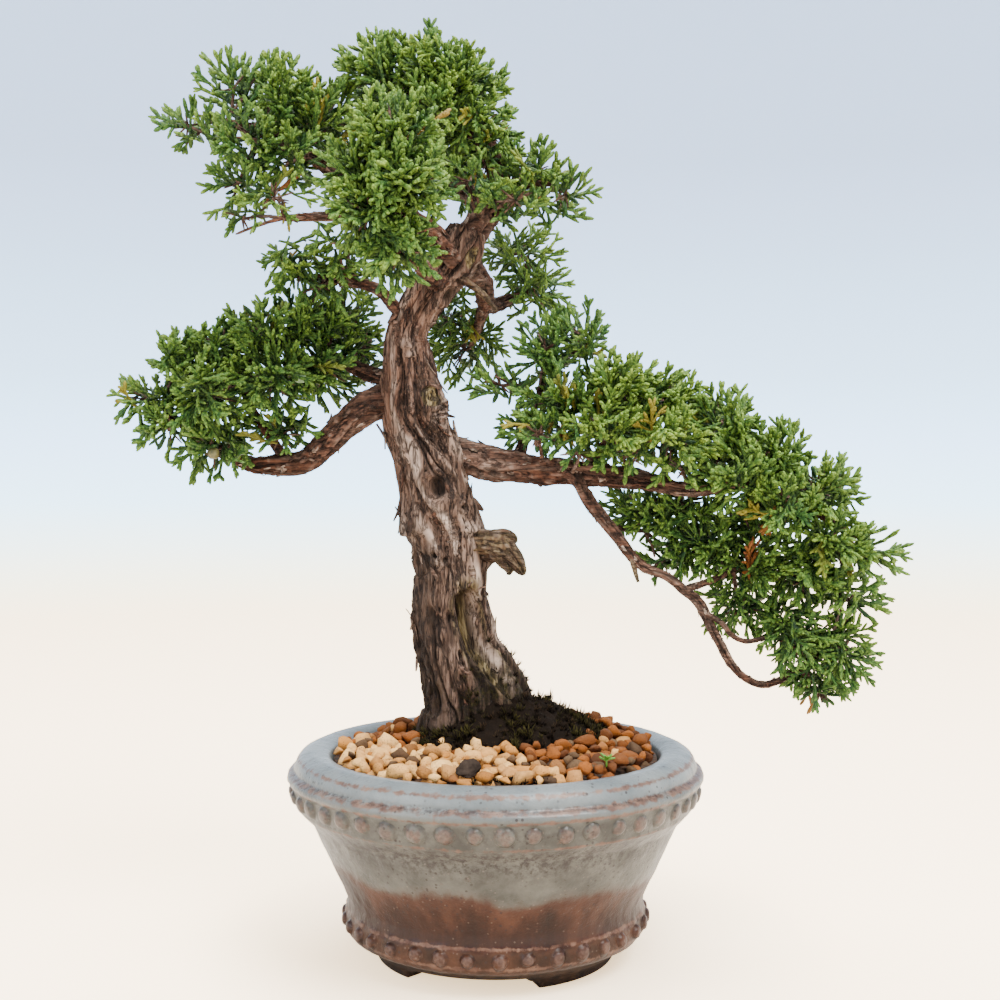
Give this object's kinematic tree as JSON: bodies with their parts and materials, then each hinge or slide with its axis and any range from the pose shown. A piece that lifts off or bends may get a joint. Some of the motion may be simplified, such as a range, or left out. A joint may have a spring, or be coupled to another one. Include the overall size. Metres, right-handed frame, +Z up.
{
  "type": "potted juniper bonsai tree",
  "caption": "Juniper bonsai with a bare twisting trunk and drooping foliage pads, growing in gravel in a round glazed pot with stud bands and cloud-shaped feet.",
  "frame": {"origin": "centre of the whole object's bounding box in plan, at the level of the pot's feet", "axes": "+Z up; +X to the right of the tree's front, towards the long drooping branch; the front looks along -Y"},
  "size_m": [0.289, 0.1624, 0.3312],
  "materials": {
    "glazed_clay": "gloss",
    "mesh_plastic": "matte",
    "clip_wire": "satin",
    "soil": "matte",
    "gravel": "matte",
    "moss": "matte",
    "bark": "matte",
    "slate": "matte",
    "seedling_leaf": "matte",
    "berry_green": "satin",
    "berry_brown": "satin",
    "foliage": "matte"
  },
  "bodies": {
    "root": {"berry_pale": "berry_green", "berry_ripe": "berry_brown", "drain_mesh": "mesh_plastic", "foliage_apex": "foliage", "foliage_apex_right": "foliage", "foliage_back_low": "foliage", "foliage_back_right": "foliage", "foliage_crown_back": "foliage", "foliage_crown_front": "foliage", "foliage_crown_right": "foliage", "foliage_hanging_inner": "foliage", "foliage_hanging_mid": "foliage", "foliage_hanging_tip": "foliage", "foliage_left_front": "foliage", "foliage_left_inner": "foliage", "foliage_left_mid": "foliage", "foliage_left_tip": "foliage", "foliage_link": "foliage", "foliage_right_inner": "foliage", "foliage_right_mid": "foliage", "foliage_right_tip": "foliage", "foliage_right_top": "foliage", "foliage_upper_left": "foliage", "foliage_upper_left_tip": "foliage", "mesh_clip": "clip_wire", "moss_mound": "moss", "pot": "glazed_clay", "seedling": "seedling_leaf", "slate_chip": "slate", "soil": "soil", "top_dressing": "gravel", "trunk_and_branches": "bark"}
  },
  "joints": []
}
